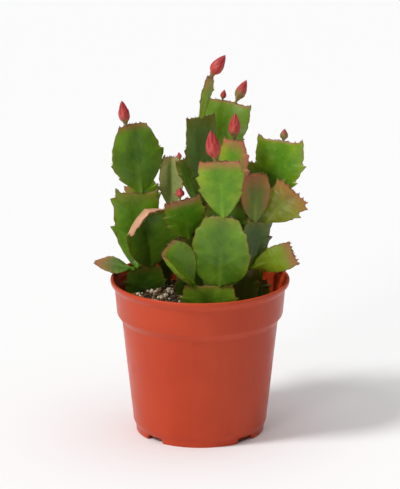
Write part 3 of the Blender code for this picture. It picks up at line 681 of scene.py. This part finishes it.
def skin_material(name, deep, fresh, red):
    """Waxy skin: two greens in soft clouds, lifted per pad partly by painted light and darkened by a
    painted shade band down the middle, paler along the midrib (partly a painted highlight) and near the
    margin, pale flecks, a red flush and a bleached end where the pad has them, and a thin dry rim."""
    material, shader = finish_material(name, deep, 0.4)
    shader.inputs["Specular IOR Level"].default_value = 0.32
    shader.inputs["Subsurface Weight"].default_value = 0.12
    shader.inputs["Subsurface Radius"].default_value = (0.6, 1.0, 0.25)
    shader.inputs["Subsurface Scale"].default_value = 0.0012
    n = Nodes(material)
    cloud, patch = n.noise(95, 3), n.noise(260, 4, 0.6)
    along, rib, blush, rim = (n.attribute(word) for word in ("along", "rib", "blush", "rim"))
    pale, bleach = n.attribute("pale"), n.attribute("bleach")
    # Painted light and shade in the green: the shade mark lifts shadowed pads and darkens a band down the
    # middle.
    green = n.plus(n.band(cloud, 0.3, 0.7, 0.25, 0.6), n.attribute("shade"))
    green = n.plus(green, n.band(along, 0.2, 1.0, -0.08, 0.12))
    skin = n.mix(n.band(green, 0, 1), deep, fresh)
    skin = n.mix(n.band(patch, 0.5, 0.72, 0, 0.22), skin, tuple(1.3 * tone for tone in fresh))
    # Paler midrib: partly its own paler green, partly a painted highlight on the ridge.
    rib_green_and_highlight = tuple(0.7 * a + 0.3 * b for a, b in zip(fresh, (0.45, 0.65, 0.1)))
    skin = n.mix(n.times(rib, 0.3), skin, rib_green_and_highlight)
    thin = n.times(pale, n.band(n.noise(210, 3), 0.3, 0.6, 0.35, 1.0))
    skin = n.mix(thin, skin, tuple(0.5 * a + 0.5 * b for a, b in zip(fresh, (0.34, 0.42, 0.03))))
    fleck = n.noise(1500, 2, 0.5)
    skin = n.mix(n.band(fleck, 0.66, 0.74, 0, 0.3), skin, tuple(0.8 * tone + 0.07 for tone in fresh))
    flush = n.times(blush, n.band(n.noise(180, 4, 0.6), 0.25, 0.65, 0.62, 1.0))
    skin = n.mix(flush, skin, red)
    bleached = n.times(bleach, n.band(n.noise(240, 3), 0.3, 0.6, 0.6, 0.95))
    skin = n.mix(bleached, skin, (0.62, 0.33, 0.20))
    dry = n.times(rim, n.band(n.noise(330, 3, 0.6), 0.3, 0.6, 0.5, 1.0))
    skin = n.mix(dry, skin, (0.17, 0.055, 0.022))
    n.put(shader.inputs["Base Color"], skin)
    n.put(shader.inputs["Roughness"], n.band(patch, 0.3, 0.7, 0.26, 0.4))
    relief = n.plus(n.times(n.noise(480, 3), 0.4), n.times(n.noise(130, 2), 1.6))
    n.put(shader.inputs["Normal"], n.bump(relief, 0.0006, 0.4))
    return material


skins = {
    "dark": skin_material("skin_dark", (0.030, 0.075, 0.006), (0.085, 0.165, 0.010), (0.26, 0.08, 0.03)),
    "mid": skin_material("skin_mid", (0.046, 0.125, 0.006), (0.145, 0.285, 0.010), (0.38, 0.12, 0.05)),
    "light": skin_material("skin_light", (0.080, 0.23, 0.006), (0.28, 0.41, 0.016), (0.50, 0.12, 0.085)),
    "blushed": skin_material("skin_blushed", (0.10, 0.15, 0.006), (0.27, 0.29, 0.018), (0.40, 0.09, 0.05)),
    "grey": skin_material("skin_grey", (0.20, 0.25, 0.055), (0.42, 0.44, 0.16), (0.52, 0.27, 0.14)),
}

# Areoles: the woolly brown dots in the notches above the teeth and along the top, each with a few
# short soft bristles. They are part of the pad that they grow on.
bristle, shader = finish_material("bristle_tan", (0.30, 0.16, 0.07), 0.7)
n = Nodes(bristle)
wool = n.mix(n.band(n.noise(900, 2), 0.35, 0.65), (0.13, 0.05, 0.03), (0.42, 0.26, 0.13))
n.put(shader.inputs["Base Color"], wool)


def carry_marks(piece, marks, count=0):
    """Give a piece's points their marks as attributes, with zeros for the points past them."""
    for word, values in marks.items():
        values = np.concatenate([np.ravel(values), np.zeros(count)]).astype(np.float32)
        piece.data.attributes.new(word, "FLOAT", "POINT").data.foreach_set("value", values)


for pad in PADS:
    rotation, base, neck = stance[pad.name] = stand(pad, pad.turn)
    points, marks = pad_surface(pad, neck)
    skin_faces = grid_faces(*points.shape[:2], True, flip=True).tolist()
    skin_points = points.reshape(-1, 3) @ rotation.T + base
    roots, ways, sizes = areole_bristles(pad)
    bristles = cones(roots @ rotation.T + base, ways @ rotation.T, sizes, BRISTLE_RADIUS)
    bristle_points, bristle_sides, bristle_ends = bristles
    bristle_faces = (bristle_sides + len(skin_points)).tolist() + (bristle_ends + len(skin_points)).tolist()

    mesh = bpy.data.meshes.new(f"pad_{pad.name}")
    all_points = np.concatenate([skin_points, bristle_points])
    mesh.from_pydata(all_points.tolist(), [], skin_faces + bristle_faces)
    mesh.materials.append(skins[pad.skin])
    mesh.materials.append(bristle)
    which = np.repeat([0, 1], [len(skin_faces), len(bristle_faces)])
    mesh.polygons.foreach_set("material_index", which)
    mesh.polygons.foreach_set("use_smooth", np.ones(len(which), bool))
    piece = bpy.data.objects.new(mesh.name, mesh)
    bpy.context.scene.collection.objects.link(piece)
    carry_marks(piece, marks, len(bristle_points))
    welded(piece)
    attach(piece, "root")
    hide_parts(pad.name)


# Buds: pointed flower buds at the tips of the youngest pads. A short green stalk carries rings of
# overlapping coral tepals, the lower ones short and the inner ones reaching the point.
BUD_STALK = 0.30
BUD_DEPTH = 0.6 * MM
CORE_SHARE = 0.92
CORE_POINTS = 32
TEPAL_ROWS = 22
TEPAL_POINTS = 24

Bud = namedtuple("Bud", "name parent at lean tilt length diameter green", defaults=(0.12,))
# Name, pad below and place on its top, lean right, tilt forward in degrees, length and diameter in
# millimetres, and the share of it that is green.
BUDS = [
    Bud("upper_left_bud", "upper_left", -0.4, -9, 0, 15, 6.2, 0.28),
    Bud("tall_stalk_bud", "tall_stalk", 0.0, 34, 0, 15, 7.0),
    Bud("upper_back_bud_small", "upper_back", -0.3, 12, 0, 6, 3.4, 0.3),
    Bud("upper_back_bud", "upper_back", 0.3, 25, 0, 14, 6.0, 0.6),
    Bud("middle_upper_bud", "middle_upper", 0.0, 2, 0, 16, 6.8, 0.34),
    Bud("front_upper_bud", "front_upper", -0.2, -9, 0, 18, 8.0),
    Bud("right_upper_bud", "right_upper", 0.1, 5, 0, 7, 4.5, 0.9),
    Bud("centre_blushed_bud", "centre_blushed", -0.1, 0, 0, 6, 5.0),
    Bud("centre_thin_bud", "centre_thin", 0.0, -10, 0, 4.5, 2.6, 0.5),
    Bud("rear_centre_bud", "rear_centre_upper", 0.1, 6, -5, 14, 6.6, 0.2),
]

# Rings of four tepals from the inmost out. Turn is the angle of the first one, foot and tip are
# shares of the bud's length, half is half the angle that one spans, and out is how far the ring
# stands off the core.
Ring = namedtuple("Ring", "turn foot tip half out")
RINGS = [
    Ring(0.2, 0.20, 1.03, 1.0, 0.0),
    Ring(0.9, 0.12, 0.88, 0.85, 0.05),
    Ring(0.3, 0.08, 0.64, 0.9, 0.09),
    Ring(1.2, 0.05, 0.38, 0.9, 0.13),
]

tepal, shader = finish_material("bud_coral", (0.62, 0.07, 0.09), 0.42)
shader.inputs["Subsurface Weight"].default_value = 0.18
shader.inputs["Subsurface Radius"].default_value = (1.0, 0.3, 0.3)
shader.inputs["Subsurface Scale"].default_value = 0.0015
shader.inputs["Specular IOR Level"].default_value = 0.3
n = Nodes(tepal)
along, green, edge, vein = (n.attribute(word) for word in ("along", "green", "edge", "vein"))
flesh = n.mix(n.band(along, 0.25, 1.0), (0.52, 0.055, 0.045), (0.40, 0.016, 0.032))
flesh = n.mix(n.band(n.noise(260, 3), 0.4, 0.7, 0, 0.4), flesh, (0.60, 0.09, 0.07))
flesh = n.mix(n.times(vein, 0.55), flesh, (0.28, 0.010, 0.018))
flesh = n.mix(n.times(edge, 0.75), flesh, (0.76, 0.24, 0.17))
stalk_green = n.mix(n.noise(300, 3), (0.16, 0.13, 0.03), (0.34, 0.20, 0.07))
n.put(shader.inputs["Base Color"], n.mix(green, flesh, stalk_green))
n.put(shader.inputs["Roughness"], n.band(n.noise(420, 3), 0.3, 0.7, 0.36, 0.5))
n.put(shader.inputs["Normal"], n.bump(n.noise(700, 3), 0.0002, 0.3))


def bud_girth(share):
    """Radius of the bud as a share of its widest: a narrow stalk, then sin(pi t^0.72)^0.75 from
    a tenth of the length up to the point."""
    t = np.clip((share - 0.1) / 0.9, 0, 1)
    swell = np.clip(np.sin(pi * t**0.72), 0, 1) ** 0.75
    stalk = BUD_STALK * (1 + 0.25 * smooth_step(share, 0.0, 0.1))
    return np.where(share < 0.5, np.maximum(swell, stalk), swell)


def bud_core(radius, length, foot):
    """Core of a bud: its girth spun round, closed to a point at the foot of the stalk and the tip."""
    rows = np.concatenate([[foot, foot + 0.001], np.linspace(foot + 0.02, 1, 60)])
    girth = CORE_SHARE * radius * bud_girth(rows) * smooth_step(rows, foot, foot + 1e-3)
    points = lathe(np.stack([girth, rows * length], -1), whole_turn(CORE_POINTS))
    along = rows[:, None] + 0 * points[..., 0]
    return points, {"along": along, "edge": 0 * along, "vein": 0 * along}


def tepal_surface(radius, length, ring, turn):
    """One tepal, a thin closed shell: v goes up it, and u = cos a goes across it and back.

    It follows the girth of the bud at its ring's distance from the core, is arched across by
    1 - u^2, and narrows to its tip by sqrt(1 - v^2.4).
    """
    v = np.linspace(0, 1, TEPAL_ROWS)[:, None]
    u = np.cos(whole_turn(TEPAL_POINTS))[None]
    face = np.sin(whole_turn(TEPAL_POINTS))[None]
    half = ring.half * np.sqrt(np.clip(1 - v**2.4, 0, 1)) * (0.6 + 0.4 * smooth_step(v, 0, 0.5))
    along = ring.foot + (ring.tip - ring.foot) * v * (1 - 0.4 * u**2 * v * (1 - v))
    angle = turn + half * u
    shell = bud_girth(along) * (CORE_SHARE + ring.out) + 0.3 * ring.out
    shell = shell + 0.03 * (1 - u**2) * (1 - v**8) + 0.05 * v**8
    thick = 0.045 * np.abs(face) * np.sqrt(np.clip(1 - v**4, 0, 1)) * smooth_step(v, 0, 0.1)
    shell = radius * (shell + np.sign(face) * thick)
    points = np.stack([shell * np.cos(angle), shell * np.sin(angle), length * along], -1)
    vein = np.exp(-((u / 0.12) ** 2))
    return points, {"along": along, "edge": np.abs(u) ** 6 + 0 * v, "vein": vein + 0 * v}


for bud in BUDS:
    rotation, base, neck = stand(bud)
    length, radius = bud.length * MM, 0.5 * bud.diameter * MM
    core = bud_core(radius, length, -(neck + BUD_DEPTH) / length)
    tepals = [
        tepal_surface(radius, length, ring, ring.turn + quarter)
        for ring in RINGS
        for quarter in whole_turn(4)
    ]
    core_count = core[0].shape[0] * CORE_POINTS
    starts = core_count + TEPAL_ROWS * TEPAL_POINTS * np.arange(len(tepals))
    bud_faces = [grid_faces(len(core[0]), CORE_POINTS, True)]
    bud_faces += [grid_faces(TEPAL_ROWS, TEPAL_POINTS, True, start, flip=True) for start in starts]
    bud_points = np.concatenate([points.reshape(-1, 3) for points, _ in [core, *tepals]])
    bud_points = bud_points @ rotation.T + base
    piece = new_mesh(f"flower_{bud.name}", bud_points, np.concatenate(bud_faces), tepal)
    marks = {
        word: np.concatenate([own[word].ravel() for _, own in [core, *tepals]])
        for word in ("along", "edge", "vein")
    }
    marks["green"] = 1 - smooth_step(marks["along"], 0.5 * bud.green, bud.green + 0.08)
    carry_marks(piece, marks)
    welded(piece)
    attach(piece, "root")
    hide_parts(bud.name)


# Potting mix: damp dark peat, crumbly on top and a little higher at the front left, with the roots
# in it. It is one body that fills the pot; the loose grains on it follow below.
MIX_SLOPE = (-0.07, -0.03)
MIX_CROWN = 1.5 * MM
WALL_GAP = 0.3 * MM
lattice = dice.uniform(-1, 1, (3, 64, 64))


def lumps(x, y, cell, layer):
    """Value noise from -1 to 1: random heights on a square lattice of that cell, blended by
    3s^2 - 2s^3 between the four corners."""
    i, j = x / cell + 32, y / cell + 32
    low_i, low_j = np.floor(i).astype(int), np.floor(j).astype(int)
    s, t = smooth_step(i - low_i, 0, 1), smooth_step(j - low_j, 0, 1)
    near = lattice[layer]
    a, b = near[low_i % 64, low_j % 64], near[(low_i + 1) % 64, low_j % 64]
    c, d = near[low_i % 64, (low_j + 1) % 64], near[(low_i + 1) % 64, (low_j + 1) % 64]
    return (a * (1 - s) + b * s) * (1 - t) + (c * (1 - s) + d * s) * t


step_foot, step_top, brim_top = inner_wall[1:]
taper = (brim_top[0] - step_top[0]) / (brim_top[1] - step_top[1])
MIX_RIM = step_top[0] - WALL_GAP + taper * (MIX_LEVEL - 3 * MM - step_top[1])


def mix_height(x, y):
    """Height of the mix's top: level, plus the slope, the crown and lumps of three sizes."""
    radius = np.hypot(x, y)
    crown = MIX_CROWN * (1 - (radius / MIX_RIM) ** 2)
    rough = 0.55 * MM * lumps(x, y, 7 * MM, 0) + 0.4 * MM * lumps(x, y, 2.6 * MM, 1)
    rough = rough + 0.28 * MM * lumps(x, y, 1.2 * MM, 2)
    return MIX_LEVEL + MIX_SLOPE[0] * x + MIX_SLOPE[1] * y + crown + rough


peat, shader = finish_material("peat_dark", (0.035, 0.022, 0.014), 0.95)
shader.inputs["Specular IOR Level"].default_value = 0.25
n = Nodes(peat)
earth = n.mix(n.band(n.noise(500, 5, 0.7), 0.35, 0.65), (0.018, 0.010, 0.006), (0.080, 0.045, 0.024))
earth = n.mix(n.band(n.noise(1400, 3), 0.6, 0.72, 0, 0.6), earth, (0.15, 0.085, 0.045))
n.put(shader.inputs["Base Color"], earth)
n.put(shader.inputs["Normal"], n.bump(n.noise(1100, 4, 0.7), 0.0006, 0.8))

mix_angles = whole_turn(240)
top_radii = np.linspace(0, 1, 70)[:, None] * MIX_RIM
top_x, top_y = top_radii * np.cos(mix_angles), top_radii * np.sin(mix_angles)
mix_top = np.stack([top_x, top_y, mix_height(top_x, top_y)], -1)
mix_side = np.array([
    (step_top[0] - WALL_GAP, step_top[1]),
    (step_foot[0] - WALL_GAP, step_foot[1]),
    (BODY_FOOT[0] - POT_WALL - WALL_GAP, FLOOR_TOP + WALL_GAP),
    (0, FLOOR_TOP + WALL_GAP),
])
mix_points = np.concatenate([mix_top, lathe(mix_side, mix_angles)])
mix = welded(new_mesh("peat", mix_points, grid_faces(len(mix_points), 240, True, flip=True), peat))
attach(mix, "root")
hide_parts("potting_mix")

# Loose grains: white perlite, brown bark chips, peat crumbs and pale fibres that lie on the mix,
# clear of the plant's rooted pads.
rooted = [pad for pad in PADS if not pad.parent]
root_middles = np.array([pad.at for pad in rooted]) * MM
root_ways = np.array([turning(pad.lean, pad.tilt, pad.turn)[:2, 0] for pad in rooted])
root_halves = np.array([float(margin(pad, np.array(ROOT_DEPTH / MM / pad.length), ())) for pad in rooted])


def spread(count, size, clear):
    """Places on the mix for grains of about that size: even over the disc, none nearer to a
    rooted pad's foot line than clear."""
    where = dice.uniform(0, 2 * pi, 3 * count)
    out = (MIX_RIM - 0.6 * size) * np.sqrt(dice.uniform(0, 1, 3 * count))
    x, y = out * np.cos(where), out * np.sin(where)
    gap = np.stack([x, y], -1)[:, None] - root_middles
    along = np.clip((gap * root_ways).sum(-1), -root_halves, root_halves)
    away = np.linalg.norm(gap - along[..., None] * root_ways, axis=-1).min(1)
    keep = np.flatnonzero(away > clear)[:count]
    return x[keep], y[keep]


def lumpy_balls(x, y, scales, seat, jag):
    """Closed lumpy grains: a sphere whose points are pushed in or out at random by up to jag,
    stretched by three scales, turned at random and set that high on the mix."""
    count, rows, columns = len(x), 5, 7
    fall = np.linspace(0, pi, rows)[:, None]
    ball = lathe(np.concatenate([np.sin(fall), np.cos(fall)], 1), whole_turn(columns))
    push = 1 + dice.uniform(-jag, jag, (count, rows, columns))
    push[:, 0], push[:, -1] = 1, 1
    shapes = ball * push[..., None] * scales[:, None, None]
    axis = dice.normal(size=(count, 3))
    axis[:, 2] *= 3
    axis /= np.linalg.norm(axis, axis=1)[:, None]
    side = np.cross(axis, np.roll(axis, 1, axis=1) + 0.1)
    side /= np.linalg.norm(side, axis=1)[:, None]
    frames = np.stack([side, np.cross(axis, side), axis], -1)
    shapes = np.einsum("nij,nrcj->nrci", frames, shapes)
    places = np.stack([x, y, mix_height(x, y) + seat], -1)
    faces = grid_faces(rows, columns, True, flip=True)
    faces = (rows * columns * np.arange(count)[:, None, None] + faces).reshape(-1, 4)
    return shapes + places[:, None, None], faces


def grains(name, count, low, high, flat, clear, material, jag=0.18):
    """One piece of many grains: sizes between low and high, mostly small, stretched by flat."""
    x, y = spread(count, high, clear)
    size = low + (high - low) * dice.uniform(0, 1, len(x)) ** 2
    scales = 0.5 * size[:, None] * np.array(flat) * dice.uniform(0.75, 1.25, (len(x), 3))
    points, faces = lumpy_balls(x, y, scales, 0.3 * size * min(flat), jag)
    piece = welded(new_mesh(name, points, faces, material))
    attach(piece, "root")


perlite, shader = finish_material("perlite_white", (0.72, 0.66, 0.55), 0.9)
n = Nodes(perlite)
chalk = n.mix(n.band(n.noise(700, 4), 0.35, 0.7), (0.72, 0.62, 0.46), (0.34, 0.24, 0.14))
n.put(shader.inputs["Base Color"], chalk)
n.put(shader.inputs["Normal"], n.bump(n.noise(1600, 3), 0.0004, 0.6))

bark, shader = finish_material("bark_brown", (0.16, 0.07, 0.03), 0.85)
n = Nodes(bark)
n.put(shader.inputs["Base Color"], n.mix(n.noise(600, 4), (0.07, 0.028, 0.014), (0.30, 0.15, 0.07)))
n.put(shader.inputs["Normal"], n.bump(n.noise(900, 4, stretch=(1, 1, 0.2)), 0.0004, 0.7))

grains("perlite", 210, 1.4 * MM, 3.6 * MM, (1, 0.9, 0.8), 2.6 * MM, perlite, jag=0.24)
grains("bark_chips", 90, 2.5 * MM, 6.5 * MM, (1.3, 0.6, 0.28), 3.4 * MM, bark)
grains("peat_crumbs", 1500, 0.7 * MM, 2.4 * MM, (1, 0.9, 0.75), 1.9 * MM, peat, jag=0.3)

# The fibres bend in flat arcs, as the heading turns evenly along each, stand up a little in the
# middle and are four-sided tubes that thin to a point at both ends.
FIBRE_HALF = 0.14 * MM
FIBRE_ROWS = 9
fibre, shader = finish_material("fibre_tan", (0.36, 0.22, 0.10), 0.8)
n = Nodes(fibre)
n.put(shader.inputs["Base Color"], n.mix(n.noise(200, 2), (0.20, 0.11, 0.05), (0.50, 0.36, 0.20)))
x, y = spread(170, 6 * MM, 2.5 * MM)
way = dice.uniform(0, 2 * pi, len(x))
bow = dice.uniform(-1.2, 1.2, len(x))
reach = dice.uniform(1.5, 4.5, len(x)) * MM
along = np.linspace(-1, 1, FIBRE_ROWS)
heading = way[:, None] + bow[:, None] * along
stride = reach[:, None] / (0.5 * (FIBRE_ROWS - 1))
path_x = x[:, None] + np.cumsum(np.cos(heading), 1) * stride
path_y = y[:, None] + np.cumsum(np.sin(heading), 1) * stride
inside = np.hypot(path_x, path_y).max(1) < MIX_RIM - 0.5 * MM
path_x, path_y, heading = path_x[inside], path_y[inside], heading[inside]
arch = 0.5 * MM * (1 - along**2) * dice.uniform(0, 2, (len(path_x), 1))
path_z = mix_height(path_x, path_y) + 0.6 * MM + arch
round_it = whole_turn(4)
thick = FIBRE_HALF * np.sqrt(1 - along**2)[None, :, None]
strands = np.stack([
    path_x[..., None] - np.sin(heading)[..., None] * np.cos(round_it) * thick,
    path_y[..., None] + np.cos(heading)[..., None] * np.cos(round_it) * thick,
    path_z[..., None] + np.sin(round_it) * thick,
], -1)
starts = 4 * FIBRE_ROWS * np.arange(len(strands))
fibre_faces = (starts[:, None, None] + grid_faces(FIBRE_ROWS, 4, True)).reshape(-1, 4)
fibres = welded(new_mesh("fibres", strands, fibre_faces, fibre))
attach(fibres, "root")


# Studio: a plain pale floor, soft light from the upper left, from overhead and from the front left,
# and a long-lens camera that looks down a little on the pot's rim.
FLOOR_RADIUS = 4.0
CAMERA_DISTANCE = 2.0
CAMERA_RISE = radians(16)

floor_material, shader = finish_material("floor_pale", (0.93, 0.93, 0.93), 0.8)
shader.inputs["Specular IOR Level"].default_value = 0.1
floor_points = lathe(np.array([(0.0, 0.0), (FLOOR_RADIUS, 0.0)]), whole_turn(64))
floor = welded(new_mesh("floor", floor_points, grid_faces(2, 64, True), floor_material))

world = bpy.data.worlds.new("studio")
world.use_nodes = True
world.node_tree.nodes["Background"].inputs["Color"].default_value = (1, 1, 1, 1)
world.node_tree.nodes["Background"].inputs["Strength"].default_value = 0.12
bpy.context.scene.world = world
bpy.context.scene.view_settings.view_transform = "Standard"


def soft_sun(name, place, strength, spread):
    """Even light from one side of the sky, its shadows softened over a wide angle."""
    data = bpy.data.lights.new(name, "SUN")
    data.energy = strength
    data.angle = radians(spread)
    light = bpy.data.objects.new(name, data)
    light.rotation_euler = (-Vector(place)).to_track_quat("-Z", "Y").to_euler()
    bpy.context.scene.collection.objects.link(light)


soft_sun("key_left", (-1.0, -0.45, 1.1), 2.0, 14)
soft_sun("overhead", (0.1, 0.1, 1.0), 1.4, 80)
soft_sun("front_fill", (-0.6, -1.0, 0.3), 0.6, 14)

camera_data = bpy.data.cameras.new("camera")
camera_data.lens = 245
camera_data.sensor_width = 36
camera_data.clip_end = 20
aim = Vector((0, 0, 0.507 * cad_box[1].z))
camera = bpy.data.objects.new("camera", camera_data)
camera.location = aim + CAMERA_DISTANCE * Vector((0, -cos(CAMERA_RISE), sin(CAMERA_RISE)))
camera.rotation_euler = (aim - camera.location).to_track_quat("-Z", "Y").to_euler()
bpy.context.scene.collection.objects.link(camera)
bpy.context.scene.camera = camera
